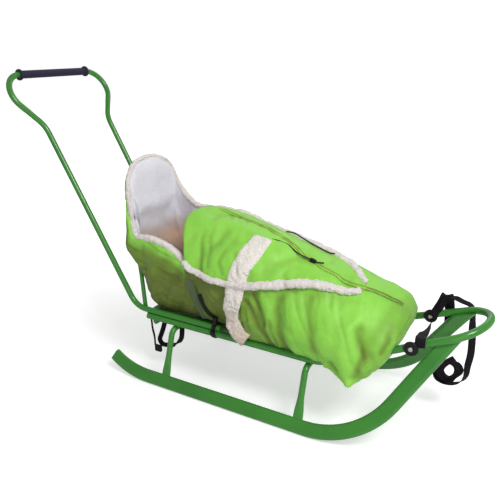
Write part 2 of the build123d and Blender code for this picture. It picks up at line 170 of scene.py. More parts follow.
def zinc():
    # zinc-plated steel
    m = Finish("zinc_plate", "C9C9C6", 0.32, Metallic=1.0)
    m.link(m.mix(m.spots(300, 2), "B4B4B2", "D6D6D3"), "Base Color")
    return m.material


def webbing(colour="120A16", name="black_webbing"):
    # woven nylon webbing
    m = Finish(name, colour, 0.8, **{"Sheen Weight": 0.04, "Specular IOR Level": 0.2})
    where = m.node("TexCoord").outputs["UV"]
    inputs = {"Vector": where, "Scale": 1.0, "Distortion": 0.4}
    weave = m.node("TexWave", inputs, bands_direction="X")
    m.link(m.bump(weave.outputs[0], 0.4, 0.0006), "Normal")
    return m.material


def lime_cloth(name, light, shade, deep, roughness=0.5):
    # coated nylon with a soft gloss, with painted shade: its shade attribute darkens it towards
    # the deep colour in its creases, its fold valleys and its shaded sides
    m = Finish(name, light, roughness, **{"Sheen Weight": 0.12, "Specular IOR Level": 0.4})
    plain = m.mix(m.spots(5, 3, 0.55), shade, light, 0.3, 0.7)
    # depth: how far painted shade darkens each place, varied a little at random
    depth = m.node("Attribute", attribute_name="shade").outputs["Fac"]
    patch = m.node("Math", {0: m.spots(18, 3), 1: 0.5}, operation="SUBTRACT").outputs[0]
    depth = m.node("Math", {0: patch, 1: 0.5, 2: depth}, operation="MULTIPLY_ADD", use_clamp=True)
    m.link(m.blend(depth.outputs[0], plain, linear(deep)), "Base Color")
    soft = m.bump(m.spots(34, 5, 0.6), 0.28, 0.006)
    m.link(m.bump(m.spots(900, 1), 0.12, 0.0004, soft), "Normal")
    return m.material


def plush(name, light, shade, low=None, levels=(0.18, 0.33)):
    # white sheepskin pile, in small curls, turned browner by painted shade towards a low end where
    # given
    m = Finish(name, light, 0.95, **{"Sheen Weight": 0.6, "Sheen Roughness": 0.6})
    curls = m.spots(230, 4, 0.65)
    colour = m.mix(curls, shade, light, 0.3, 0.62)
    if low:
        height = m.node("SeparateXYZ", {0: m.node("TexCoord").outputs["Object"]}).outputs[2]
        share = m.node(
            "MapRange", {0: height, "From Min": levels[0], "From Max": levels[1]}
        ).outputs[0]
        # painted shade: the low colour below the given heights
        colour = m.blend(share, linear(low), colour)
    m.link(colour, "Base Color")
    m.link(m.bump(curls, 0.9, 0.004), "Normal")
    return m.material


MATERIALS = {
    "enamel": enamel(),
    "slats": slat_paint(),
    "foam": grained("grip_foam", "241A38", 0.7, 900, 3, 0.35, 0.0006),
    "black": grained(
        "black_moulding", "120B14", 0.42, 700, 2, 0.1, 0.0003, **{"Specular IOR Level": 0.3}
    ),
    "zinc": zinc(),
    "webbing": webbing(),
    "cord": grained("dark_braid", "12140F", 0.6, 1200, 1, 0.3, 0.0003, **{"Sheen Weight": 0.2}),
    # a lime cloth's last colour is its painted shade colour
    "lime": lime_cloth("lime_cloth", "97DF52", "8AD446", "66761F"),
    "olive": lime_cloth("piping_cloth", "9AAE48", "8AA03E", "6F8430", 0.6),
    "grey_webbing": webbing("5E6E50", "grey_webbing"),
    "dark_webbing": webbing("1B2416", "side_webbing"),
    "plush": plush("white_plush", "F6EFEA", "E2D6CF"),
    # the strap's low end is browned by painted shade
    "warm_plush": plush("strap_plush", "FBF6EF", "EFE4D8", "C9AC94", (0.14, 0.30)),
    # the lining is browned low down, near the cover, by painted shade
    "lining": plush("lining_plush", "F6F5FD", "E9E7F2", "C9A68C", (0.36, 0.42)),
}

# The first entry whose start fits a node's name gives that node's finish.
NODE_FINISHES = (
    ("seat_slat", "slats"),
    ("handle_grip", "foam"),
    ("tow_bolt", "zinc"),
    (("handle_clamp", "tow_disc", "cord_lock", "belt_buckle"), "black"),
    (("tow_", "belt_", "drawcord"), "webbing"),
    ("footmuff", "lime"),
    ("plush", "plush"),
    ("", "enamel"),
)
for name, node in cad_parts.items():
    finish = next(finish for start, finish in NODE_FINISHES if name.startswith(start))
    node.data.materials.clear()
    node.data.materials.append(MATERIALS[finish])


def sheet(places, wrap=False, uvs=None):
    """A bmesh grid laid on these places in millimetres, closed round its rows if wrap."""
    rows, cols = places.shape[:2]
    if wrap:
        places = np.concatenate([places, places[:, :1]], axis=1)
        cols += 1
    bm = bmesh.new()
    bmesh.ops.create_grid(bm, x_segments=cols - 1, y_segments=rows - 1, size=1.0)
    bm.verts.index_update()
    for vert, spot in zip(bm.verts, places.reshape(-1, 3)):
        vert.co = place(*spot)
    if uvs is not None:
        layer = bm.loops.layers.uv.new("UVMap")
        for face in bm.faces:
            for loop in face.loops:
                row, col = divmod(loop.vert.index, cols)
                loop[layer].uv = uvs(row, col)
    if wrap:
        bmesh.ops.remove_doubles(bm, verts=bm.verts[:], dist=1e-8)
    return bm


def mark(bm, values, name="shade"):
    """Give each vertex its value, or all of them one, for the material to read."""
    layer = bm.verts.layers.float.new(name)
    for vert, value in zip(bm.verts, np.broadcast_to(np.ravel(values), len(bm.verts))):
        vert[layer] = float(value)


def close_ends(bm):
    """Fill every open edge loop."""
    rims = [edge for edge in bm.edges if edge.is_boundary]
    bmesh.ops.holes_fill(bm, edges=rims, sides=0)


def finished(bm, name, finish, lining=None):
    """The bmesh as a new piece on the root body."""
    bmesh.ops.recalc_face_normals(bm, faces=bm.faces[:])
    data = bpy.data.meshes.new(name)
    bm.to_mesh(data)
    bm.free()
    data.materials.append(MATERIALS[finish])
    if lining:
        data.materials.append(MATERIALS[lining])
    data.shade_smooth()
    obj = added(name, data)
    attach(obj, "root")
    return obj


# ---- directions and distances
def unit(v, least=0.0):
    """Vectors at length one; least keeps a division by zero away."""
    return v / (np.linalg.norm(v, axis=-1, keepdims=True) + least)


def clamp(v):
    return np.clip(v, 0, 1)


def faced(n, out):
    """The normals n, turned where needed to the same side as out."""
    return n * np.sign(np.sum(n * out, axis=-1, keepdims=True))


def distances(line):
    """How far along a line each of its points lies."""
    return np.concatenate([[0], np.cumsum(np.linalg.norm(np.diff(line, axis=0), axis=1))])


def evened(line, step, least):
    """A line at even steps, least of them or more: the distances of its old points and
    of its new ones, the new points and the directions there."""
    line = np.array(line, float)
    run = distances(line)
    q = np.linspace(0, run[-1], max(int(run[-1] / step), least))
    p = np.stack([np.interp(q, run, line[:, k]) for k in range(3)], axis=1)
    return run, q, p, unit(np.gradient(p, axis=0))


# ---- cords and webbing
WEBBING_THICK = 0.0018


def route_curve(name, route):
    """A cord's line: a NURBS spline with its route as control points."""
    data = bpy.data.curves.new(name, "CURVE")
    data.dimensions = "3D"
    line = data.splines.new("NURBS")
    line.points.add(len(route) - 1)
    for point, spot in zip(line.points, route):
        point.co = (*place(*spot), 1.0)
    line.order_u = 3
    line.use_endpoint_u = True
    line.resolution_u = 10
    return data


def line_of(route):
    """Points read from the route's NURBS spline."""
    line = bpy.data.objects.new("line", route_curve("line", route))
    mesh = bpy.data.meshes.new_from_object(line)
    spots = [v.co.copy() for v in mesh.vertices]
    bpy.data.meshes.remove(mesh)
    bpy.data.objects.remove(line)
    return spots


def ribbon(name, spots, turns, width, finish="webbing"):
    """Flat webbing along a line. turns gives, against the share of the way, which
    way its width runs."""
    run, q, p, along = evened([tuple(v) for v in spots], 0.003, 12)
    shares, ways = zip(*turns)
    wide = np.stack([np.interp(q / run[-1], shares, way) for way in zip(*ways)], axis=1)
    wide = unit(wide - along * np.sum(wide * along, axis=1, keepdims=True))
    flat = np.cross(along, wide)
    ring = [(u, 1.0) for u in (-0.94, -0.5, 0.0, 0.5, 0.94)] + [(1.0, 0.0)]
    ring += [(u, -1.0) for u in (0.94, 0.5, 0.0, -0.5, -0.94)] + [(-1.0, 0.0)]
    # the webbing is a little dished, more here and less there
    bow = 0.0009 * np.sin(q / 0.021) + 0.0006 * np.sin(q / 0.009 + 1.0)
    places = np.stack(
        [p + wide * (u * width / 2) + flat * (side * WEBBING_THICK / 2 + bow * u * u)[:, None]
         for u, side in ring],
        axis=1,
    )
    places = places * 1000 - np.array([SHIFT, 0, 0])
    bm = sheet(places, True, lambda row, col: (q[row] * 500, ring[col % len(ring)][0]))
    close_ends(bm)
    return finished(bm, name, finish)


def drawcord(name, node, route):
    """A round cord along its route, in place of the CAD's."""
    data = route_curve(name, route)
    data.bevel_depth, data.bevel_resolution = 0.0019, 3
    data.materials.append(MATERIALS["cord"])
    obj = added(name, data)
    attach(obj, "root")
    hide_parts(node)
    return obj


ACROSS = (0.87, 0.49, 0.0)
near_cord = drawcord(
    "zip_cord_right", "drawcord_right",
    [(58, -38, 434.5), (68, -31, 432.5), (81, -28.5, 429), (99, -25.5, 424), (117, -32.5, 415.6),
     (132, -36.5, 409), (147, -37.4, 404), (160, -36.5, 401), (187, -36.5, 393.5),
     (197, -24, 391.5)],
)
far_cord = drawcord(
    "zip_cord_left", "drawcord_left",
    [(64, 34, 436), (78, 36, 436.5), (95, 38, 431.5), (106, 38, 425.5), (119, 38, 421),
     (130, 37, 416.5), (141, 35, 413), (165, 34, 405.5), (184, 35, 398.8),
     (193, 38, 396), (200, 42, 396)],
)

bridle_line = line_of(
    [(466, -108, 268), (465, -105, 281), (462, -88, 285), (459, -58, 274), (458, -22, 266),
     (455, 20, 258), (452, 55, 249), (450, 77, 241)]
)
bridle = ribbon(
    "tow_bridle_webbing", bridle_line,
    [(0, (1, 0, 0)), (0.35, (1, 0, 0)), (0.8, (0.38, 0.29, 0.88)), (1, (0.38, 0.29, 0.88))], 0.023,
)
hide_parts("tow_bridle")

# the tow strap hangs to its folded hank: the rounds are more of its own line
strap_line = line_of(
    [(466, 79, 284), (474, 79, 304), (484, 80, 320), (500, 82, 322), (518, 86, 315),
     (534, 94, 309), (544, 100, 294), (544, 100, 268), (546, 99, 242), (550, 98, 212),
     (552, 96, 186), (551.5, 91.5, 162), (549, 88, 140), (549, 83, 119),
     (541, 80, 99), (522, 78, 89), (498, 76, 88), (479, 75, 99), (477, 75, 121), (490, 76, 142),
     (512, 78, 150), (531, 81, 141), (536, 84, 119), (525, 86, 99), (504, 87, 93),
     (487, 88, 105), (487, 89, 128), (503, 89, 144), (522, 87, 142), (528, 82, 122),
     (516, 76, 106), (498, 70, 104), (486, 68, 117), (492, 67, 138), (505, 67, 156),
     (519, 69, 166)]
)
tow_webbing = ribbon(
    "tow_strap_webbing", strap_line,
    [(0, ACROSS), (0.05, ACROSS), (0.12, (0.2, 1, 0)), (0.17, (0.4, 0.9, 0)), (0.22, ACROSS),
     (0.34, ACROSS), (0.40, (0.5, 0.85, 0)), (0.46, (0.1, 1, 0)), (0.52, (0.7, 0.6, 0.3)),
     (0.58, (0.2, 0.9, -0.3)), (0.64, (0.8, 0.5, 0.2)), (0.70, (0.3, 0.8, 0.5)),
     (0.76, (0.8, 0.5, -0.3)), (0.82, (0.2, 0.9, 0.3)), (0.88, (0.8, 0.5, 0.1)),
     (0.94, (0.7, 0.4, -0.5)), (1, (0.8, 0.3, -0.4))],
    0.019,
)
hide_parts("tow_strap", "tow_strap_hank")

belt_line = line_of(
    [(-251, -98, 156), (-255, -98, 142), (-267, -98, 109), (-277, -98, 88), (-268, -98, 74),
     (-245, -98, 77), (-218, -101, 85), (-196, -107, 104), (-182, -113, 128), (-181, -113, 156)]
)
belt = ribbon(
    "belt_slack_webbing", belt_line,
    [(0, ACROSS), (0.36, ACROSS), (0.46, (0, 0.7, 0.7)), (0.6, (0, 0.7, 0.7)), (0.75, ACROSS),
     (1, ACROSS)],
    0.014,
)
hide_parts("belt_slack")

# two short ends of webbing that are sewn or tied fast
ribbon(
    "tow_strap_tab",
    line_of(
        [(455, 78, 264), (462, 79, 285), (472, 82, 306), (477, 86, 322), (481, 95, 322),
         (485, 105, 300), (488, 108, 270), (489, 107, 244)]
    ),
    [(0, ACROSS), (1, ACROSS)], 0.025,
)
TAIL_WIDE = (-0.35, 0.94, 0)
ribbon(
    "belt_tail",
    line_of([(-303, -98, 150), (-301, -98, 120), (-295, -98, 95), (-292, -98, 66)]),
    [(0, TAIL_WIDE), (1, TAIL_WIDE)], 0.011,
)


# ---- smooth lines
def tangents(p, t, closed):
    """The C2 cubic's slopes at the knots t, for rows of values p."""
    m = len(t) - 1 if closed else len(t)
    h = np.diff(t)
    a, b = np.zeros((m, m)), np.zeros((m, p.shape[1]))
    for i in range(m):
        if not closed and i in (0, m - 1):
            near = h[0] if i == 0 else h[-1]
            a[i, i], a[i, 1 if i == 0 else m - 2] = 2 / near, 1 / near
            pair = (p[1] - p[0]) if i == 0 else (p[-1] - p[-2])
            b[i] = 3 * pair / near**2
        else:
            before, after = h[i - 1], h[i]
            a[i, (i - 1) % m] += 1 / before
            a[i, i] += 2 * (1 / before + 1 / after)
            a[i, (i + 1) % m] += 1 / after
            last, here, ahead = p[(i - 1) % m], p[i], p[(i + 1) % m]
            b[i] = 3 * ((here - last) / before**2 + (ahead - here) / after**2)
    return np.linalg.solve(a, b)


def hermite(a, slope_a, b, slope_b, u, h):
    """The cubic from a to b with these slopes, u of the way over a span of h."""
    return (
        a * (1 + 2 * u) * (1 - u) ** 2
        + slope_a * h * u * (1 - u) ** 2
        + b * u**2 * (3 - 2 * u)
        + slope_b * h * u**2 * (u - 1)
    )


def spline(points, t=None, closed=False):
    """A function that gives the place on the smooth line through these points at t."""
    p = np.array(points, float)
    if p.ndim == 1:
        p = p[:, None]
    if t is None:
        t = distances(np.vstack([p, p[:1]]) if closed else p)
    t = np.array(t, float)
    d = tangents(p, t, closed)
    if closed:
        p, d = np.vstack([p, p[:1]]), np.vstack([d, d[:1]])

    def at(q):
        q = np.atleast_1d(np.asarray(q, float))
        if closed:
            q = np.mod(q - t[0], t[-1] - t[0]) + t[0]
        i = np.clip(np.searchsorted(t, q, side="right") - 1, 0, len(t) - 2)
        h = (t[i + 1] - t[i])[:, None]
        u = ((q - t[i])[:, None] / h).clip(-0.2, 1.2)
        return hermite(p[i], d[i], p[i + 1], d[i + 1], u, h)

    at.t = t
    return at


def lerp_table(rows):
    """y from x by straight lines between the rows (x, y)."""
    xs, ys = [r[0] for r in rows], [r[1] for r in rows]
    return lambda x: np.interp(x, xs, ys)


# ---- the foot bag
# Each rib: its place along the sled, then across and up to the keel, the bottom
# corner, the widest point and the shoulder on the right, the crest, and the
# shoulder, the widest point and the bottom corner on the left.
RIBS = (
    (-200, (0, 176), (82, 184), (131, 290), (108, 410),
     (5, 479), (105, 428), (130, 290), (82, 184)),
    (-151, (0, 176), (82, 184), (131, 290), (108, 408),
     (5, 476), (105, 425), (130, 290), (82, 184)),
    (-60, (0, 178), (90, 187), (135, 280), (112, 395),
     (5, 464), (108, 412), (134, 280), (90, 187)),
    (40, (0, 181), (122, 188), (143, 255), (110, 385),
     (8, 441), (104, 398), (142, 255), (120, 188)),
    (140, (0, 183), (130, 187), (149, 245), (92, 368),
     (22, 411), (97, 382), (146, 250), (122, 188)),
    (215, (0, 184), (134, 180), (153, 232), (88, 350),
     (38, 383), (99, 362), (146, 245), (126, 192)),
    (265, (0, 192), (139, 171), (156, 215), (94, 333),
     (40, 364), (102, 346), (143, 255), (124, 206)),
    (322, (0, 212), (152, 153), (157, 182), (102, 308),
     (42, 346), (100, 330), (136, 277), (118, 232)),
    (365, (0, 232), (136, 184), (143, 222), (100, 288),
     (45, 331), (98, 318), (122, 282), (102, 246)),
    (400, (0, 247), (115, 226), (119, 256), (86, 284),
     (40, 308), (92, 301), (108, 276), (94, 256)),
    (414, (0, 257), (98, 252), (110, 264), (84, 275),
     (30, 287), (80, 284), (95, 271), (84, 260)),
)
SIDES = len(RIBS[0]) - 1
rib_x = [row[0] for row in RIBS]
rib_points = [[(-y, z) for y, z in row[1:5]] + list(row[5:]) for row in RIBS]
rings = [spline(pts, closed=True) for pts in rib_points]


def ring_at(ring, around):
    """Points of one rib at around, which counts its corners from the keel."""
    knots = ring.t
    whole = np.mod(around, SIDES)
    i = np.floor(whole).astype(int)
    return ring(knots[i] + (whole - i) * (knots[i + 1] - knots[i]))


def bag(x, around):
    """Places on the bag's skin, for arrays of x and around (0 keel, 2 right, 4 crest, 6 left)."""
    x, around = np.broadcast_arrays(np.asarray(x, float), np.asarray(around, float))
    shape, x, around = x.shape, x.ravel(), around.ravel()
    cuts = np.stack([ring_at(ring, around) for ring in rings])
    h = np.diff(rib_x)
    slopes = np.gradient(cuts, rib_x, axis=0)
    i = np.clip(np.searchsorted(rib_x, x, side="right") - 1, 0, len(rib_x) - 2)
    n = np.arange(len(x))
    step = h[i][:, None]
    u = ((x - np.array(rib_x)[i]) / h[i])[:, None]
    yz = hermite(cuts[i, n], slopes[i, n], cuts[i + 1, n], slopes[i + 1, n], u, step)
    return np.stack([x, yz[:, 0], yz[:, 1]], axis=-1).reshape(*shape, 3)


def bag_normal(x, around):
    """The skin's outward normals, from places close by on each side."""
    dx, turn = 1.5, 0.02
    a, b = bag(x + dx, around), bag(x - dx, around)
    c, d = bag(x, around + turn), bag(x, around - turn)
    n = unit(np.cross(a - b, c - d), TINY)
    middle = bag(x, 0.0) * 0.5 + bag(x, 4.0) * 0.5
    out = np.sum(n * (bag(x, around) - middle), axis=-1, keepdims=True)
    return np.where(out < 0, -n, n)


# Soft folds: lines over the side (x, z) or over the top (x, y), each with its height
# in millimetres (negative for a valley) and its half width.
SIDE_FOLDS = (
    (((62, 318), (88, 250), (110, 188)), -5, 12),
    (((84, 322), (112, 262), (128, 190)), 5, 12),
    (((128, 320), (134, 262), (150, 190)), -6, 14),
    (((150, 330), (162, 262), (186, 196)), 5, 16),
    (((204, 330), (214, 280), (232, 215)), -5, 14),
    (((318, 300), (300, 235), (318, 160)), 5, 18),
    (((330, 285), (352, 230), (338, 176)), -6, 12),
    (((386, 320), (392, 290), (388, 240)), -5, 7),
    (((-118, 440), (-112, 400), (-100, 352)), -5, 7),
    (((-92, 430), (-84, 396), (-78, 362)), -4, 6),
    (((-40, 402), (-50, 380), (-36, 354)), -4, 6),
    (((-10, 402), (6, 380), (14, 358)), -4, 6),
    (((120, 372), (134, 350), (160, 340)), -4, 7),
    (((40, 300), (66, 262), (92, 214), (104, 188)), -7, 8),
    (((66, 306), (84, 276), (92, 250)), -5, 6),
    (((76, 246), (88, 214), (96, 190)), 5, 6),
    (((112, 262), (122, 226), (128, 192)), -5, 7),
    (((276, 196), (292, 178), (298, 162)), -8, 7),
    (((262, 176), (276, 186), (286, 176)), 5, 7),
    (((340, 200), (352, 222), (356, 246)), 5, 8),
    (((-20, 330), (-40, 270), (-44, 200)), -5, 12),
    (((-60, 330), (-84, 262), (-96, 200)), 5, 12),
    (((-96, 340), (-120, 280), (-140, 210)), -5, 14),
    (((60, 250), (44, 225), (40, 196)), 5, 9),
    (((98, 236), (104, 214), (112, 190)), 4, 7),
)
TOP_FOLDS = (
    (((-110, -128), (-70, -96), (-60, -60)), -5, 13),
    (((-140, -60), (-90, -40), (-30, -34), (20, -40)), 4, 14),
    (((-96, -110), (-40, -112), (0, -96)), 4, 12),
    (((-128, -20), (-60, 14), (10, 18)), -3, 14),
    (((80, -110), (112, -70), (150, -30)), -4, 14),
    (((150, -112), (196, -80), (240, -44)), 4, 16),
    (((90, 60), (150, 76), (230, 90)), -3, 14),
    (((402, -60), (398, 0), (402, 60)), -4, 8),
)


def from_line(points, a, b):
    """How far each place (a, b) is from a line through these points."""
    best = np.full(np.shape(a), FAR)
    for (ax, ay), (bx, by) in zip(points, points[1:]):
        vx, vy = bx - ax, by - ay
        t = clamp(((a - ax) * vx + (b - ay) * vy) / (vx * vx + vy * vy))
        best = np.minimum(best, np.hypot(a - ax - t * vx, b - ay - t * vy))
    return best


def fractal(flat, octaves, shape):
    """Noise about zero at each row of flat."""
    return np.array([noise.fractal(Vector(q), 1.0, 2.0, octaves) for q in flat]).reshape(shape)


def rumple(p, scale, seed, octaves=3):
    """Even noise about zero at places p, its lumps about scale across."""
    return fractal(p.reshape(-1, 3) / scale + seed * 17.3, octaves, p.shape[:-1])


def creases(p, size, seed, sharp=0.14):
    """Narrow gathers, 1 in a crease and 0 away from it; size is their spacing each way."""
    flat = (p / np.array(size)).reshape(-1, 3) + seed * 7.7
    n = fractal(flat, 2, p.shape[:-1])
    patch = np.clip(0.5 + rumple(p, 70.0, seed + 50, 2) * 1.6, 0.05, 1)
    return np.exp(-((n / sharp) ** 2)) * patch


def valleys(p, folds, a, b):
    """How deep each place lies in the valleys of these folds, 0 to 1."""
    deep = np.zeros(p.shape[:-1])
    wander = rumple(p, 60.0, 3, 2) * 7
    for line, high, half in folds:
        if high < 0:
            d = from_line(line, p[..., a] + wander, p[..., b])
            deep = np.maximum(deep, np.exp(-((d / (half * 0.8)) ** 2)) * min(-high / 6, 1))
    return deep


def add_folds(push, weight, folds, a, b):
    """Add to push what these folds raise or sink at (a, b), as far as weight lets them."""
    for line, high, half in folds:
        push += weight * high * np.exp(-((from_line(line, a, b) / half) ** 2))


CORNER = np.array([322.0, -152.0, 153.0])
CREASE_DEPTH = 3.4


def folded(p, n, gathers=None):
    """The skin's places p pushed along their normals n by the folds and by soft rumples,
    and in where there are gathers."""
    x, y, z = np.moveaxis(p, -1, 0)
    wander = rumple(p, 60.0, 3, 2) * 7
    push = np.zeros(x.shape)
    add_folds(push, clamp((-y - 70) / 45), SIDE_FOLDS, x + wander, z)
    add_folds(push, clamp((z - 300) / 50), TOP_FOLDS, x, y + wander)
    # the bag's bottom corner ends in a drawn-out point
    tip = np.linalg.norm(p - CORNER, axis=-1)
    push += 10 * np.exp(-((tip / 10) ** 2)) - 6 * np.exp(-((tip / 30) ** 2))
    push += rumple(p, 90.0, 7, 2) * 5 + rumple(p, 26.0, 11, 3) * 1.2
    if gathers is not None:
        push -= gathers * CREASE_DEPTH
    return p + n * push[..., None]


# The cover's two edges and the zip, as the way round the bag against x.
SEAM_RIGHT = lerp_table(
    [(-200, 2.75), (-165, 2.66), (-151, 2.60), (-133, 2.49), (-100, 2.43), (-31, 2.46),
     (20, 2.55), (65, 2.64), (98, 2.73), (134, 2.82), (167, 2.91), (215, 3.03), (260, 3.18),
     (293, 3.33), (316, 3.52)]
)
SEAM_LEFT = lerp_table(
    [(-200, 5.1), (-151, 5.0), (-138, 4.90), (-122, 4.68), (-106, 4.52), (-92, 4.47), (-76, 4.50),
     (-58, 4.62), (-38, 4.72), (0, 4.70), (62, 4.58), (95, 4.56), (128, 4.52), (191, 4.34),
     (227, 4.14), (251, 3.97), (278, 3.82), (302, 3.68), (316, 3.56)]
)
ZIP = lerp_table(
    [(-186, 4.10), (-151, 4.08), (-82, 4.03), (26, 3.96), (47, 3.90), (86, 3.84), (107, 3.75),
     (128, 3.66), (149, 3.57), (200, 3.42), (251, 3.38), (296, 3.50), (329, 3.60), (365, 3.64),
     (398, 3.69)]
)
# The cover's rear edge, against the way round.
MOUTH = lerp_table(
    [(2.0, -151), (2.6, -151), (2.94, -162), (3.18, -176), (3.48, -188), (3.69, -188),
     (3.87, -178), (4.2, -166), (4.9, -154), (6.0, -151)]
)
# Where the cover ends in front, and how thick the padded cloth is.
TONGUE = 314.0
PADDING = 14.0


def around_at(x, height, left):
    """Where round the bag its skin is at this height, on the right or on the left."""
    tries = np.linspace(4.0, 6.8, 120) if left else np.linspace(4.0, 1.2, 120)
    z = bag(x, tries)[:, 2]
    below = np.nonzero(z <= height)[0]
    if len(below) == 0:
        return tries[-1]
    k = max(below[0], 1)
    share = (z[k - 1] - height) / max(z[k - 1] - z[k], 1e-6)
    return tries[k - 1] + (tries[k] - tries[k - 1]) * clamp(share)


BAG_REAR, BAG_NOSE, BAG_FRONT = -151, 404, 414.1
COLUMNS = 216
bag_x = np.concatenate([np.arange(BAG_REAR, BAG_NOSE, 4.5), np.arange(BAG_NOSE, BAG_FRONT, 2.5)])
bag_round = np.arange(COLUMNS) * SIDES / COLUMNS
gx, ga = np.meshgrid(bag_x, bag_round, indexing="ij")
# the cover's rear end reaches further back than the bag
reach = clamp((-50 - gx) / 100) ** 1.5
cover_x = gx + (MOUTH(ga) - BAG_REAR) * reach


def skin_at(x, a, lift=0.0, gathers=None):
    """Places on the folded skin, set out from it by lift, and its normals there."""
    n = bag_normal(x, a)
    return folded(bag(x, a), n, gathers) + n * lift, n


cover_plain = bag(cover_x, ga)
foot_plain = bag(gx, ga)
foot_x, foot_y, foot_z = np.moveaxis(foot_plain, -1, 0)
# gathers run down the bag's side from its seam, and more loosely over the cover
cover_creases = creases(cover_plain, (38.0, 90.0, 120.0), 3) * 0.6
near_side = clamp((-foot_y - 60) / 50)
lean = foot_plain.copy()
lean[..., 0] += 0.45 * (foot_z - 250)
foot_creases = creases(lean, (30.0, 150.0, 140.0), 5) * (0.3 + 0.7 * near_side)
fine = creases(lean, (14.0, 90.0, 70.0), 15, 0.18) * near_side
foot_creases = np.maximum(foot_creases, 0.55 * fine * clamp((230 - foot_x) / 60))
lift = 3.0 + 4.0 * clamp((-110 - cover_x) / 60)
on_cover = (ga > SEAM_RIGHT(cover_x)) & (ga < SEAM_LEFT(cover_x)) & (cover_x < TONGUE)
cover_skin = skin_at(cover_x, ga, lift[..., None], cover_creases)
foot_skin = skin_at(gx, ga, 0.0, foot_creases)
# painted shade: the foot bag's colour is darkened towards the tub, under its seam, in its creases
# and in its fold valleys
drop = SEAM_RIGHT(gx) - ga
rear_side = near_side * clamp((150 - foot_x - (foot_z - 250) * 0.5) / 200)
under_seam = near_side * np.exp(-((drop - 0.1) / 0.12) ** 2) * 0.5
foot_shade = 0.95 * rear_side + under_seam * 0.6 + foot_creases * (0.2 + 0.4 * rear_side)
foot_shade += 0.6 * near_side * valleys(foot_plain, SIDE_FOLDS, 0, 2)
# painted shade on its front end, which faces away from the open side
foot_shade += 0.28 * clamp((foot_x - 372 - 0.22 * foot_y) / 16)
# painted shade in the cover's creases and fold valleys, more on its near side
cover_shade = cover_creases * 0.24 + 0.3 * valleys(cover_plain, TOP_FOLDS, 0, 1)
cover_side = clamp((-cover_plain[..., 1] - 60) / 40)
cover_shade += 0.42 * cover_side * valleys(cover_plain, SIDE_FOLDS, 0, 2)


def shell(name, surface, keep, shade, lip=False):
    """The part of a skin where keep is true, as padded cloth lined with plush; with a
    lip, it thins out towards its rear edge."""
    skin, skin_n = surface
    rows, cols = keep.shape
    depth = np.full(rows, PADDING)
    if lip:
        depth[:4] = PADDING * np.array([0.12, 0.5, 0.8, 0.95])
    bm = sheet(skin)
    # the shade values are painted shade for the cloth's colour
    mark(bm, shade)
    bm.verts.ensure_lookup_table()
    # the last column joins the first round the keel
    for first in range(0, (rows - 1) * cols, cols):
        corners = (first + cols - 1, first, first + cols, first + 2 * cols - 1)
        bm.faces.new([bm.verts[k] for k in corners])
    held = keep.ravel()
    off = [face for face in bm.faces if not all(held[v.index] for v in face.verts)]
    number = {v: v.index for v in bm.verts}
    bmesh.ops.delete(bm, geom=off, context="FACES")
    bmesh.ops.recalc_face_normals(bm, faces=bm.faces[:])
    # the lining: a copy of the cloth set inwards, bridged to it round every edge
    rims = [edge for edge in bm.edges if edge.is_boundary]
    cloth = bm.faces[:]
    made = bmesh.ops.duplicate(bm, geom=cloth)
    twins = made["vert_map"]
    inward = (skin_n * depth[:, None, None]).reshape(-1, 3) / 1000
    for vert in {v for face in cloth for v in face.verts}:
        twins[vert].co = vert.co - Vector(inward[number[vert]])
    for face in made["geom"]:
        if isinstance(face, bmesh.types.BMFace):
            face.material_index = 1
    for edge in rims:
        a, b = edge.verts
        wall = bm.faces.new((a, b, twins[b], twins[a]))
        wall.material_index = 1
    return finished(bm, name, "lime", "lining")


cover = shell("muff_cover", cover_skin, on_cover, cover_shade, lip=True)
# the foot bag's cloth runs on a little way under the cover's edges
uncovered = ~((ga > SEAM_RIGHT(gx)) & (ga < SEAM_LEFT(gx)) & (gx < TONGUE))
foot_keep = uncovered.copy()
for shift in (1, -1, 2, -2):
    foot_keep |= np.roll(uncovered, shift, axis=1)
foot = shell("muff_foot_bag", foot_skin, foot_keep, foot_shade)
# the bag's closed front end
last = foot_skin[0][-1]
centre = last.mean(axis=0)
cap = [last]
for share, out in ((0.82, 3.0), (0.6, 5.0), (0.3, 6.0), (0.08, 6.2)):
    cap.append(centre + (last - centre) * share + np.array([out, 0, 0]))
bm = sheet(np.array(cap), wrap=True)
# painted shade over the whole front end
mark(bm, 0.3)
beyond = place(*centre).x + 0.004
inmost = [edge for edge in bm.edges if edge.is_boundary and edge.verts[0].co.x > beyond]
bmesh.ops.holes_fill(bm, edges=inmost, sides=0)
finished(bm, "muff_foot_end", "lime")
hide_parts("footmuff_cover")
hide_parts("footmuff_foot")

# ---- tub and hooded back
# Height, rear, half widths on the right and on the left, corner radius.
LEVELS = (
    (184.5, -288, 84, 84, 26),
    (215, -304, 106, 108, 38),
    (247, -312, 116, 117, 42),
    (273, -319, 122, 122, 44),
    (299, -325, 127, 128, 44),
    (318, -338, 129, 129, 44),
    (338, -352, 130, 129, 44),
    (361, -371, 130, 129, 42),
    (390, -373, 129, 128, 42),
    (412, -372, 127, 127, 44),
    (450, -371, 124, 123, 46),
    (610, -375, 112, 110, 42),
)
level = spline([row[1:] for row in LEVELS], [row[0] for row in LEVELS])
FRONT = -139.0
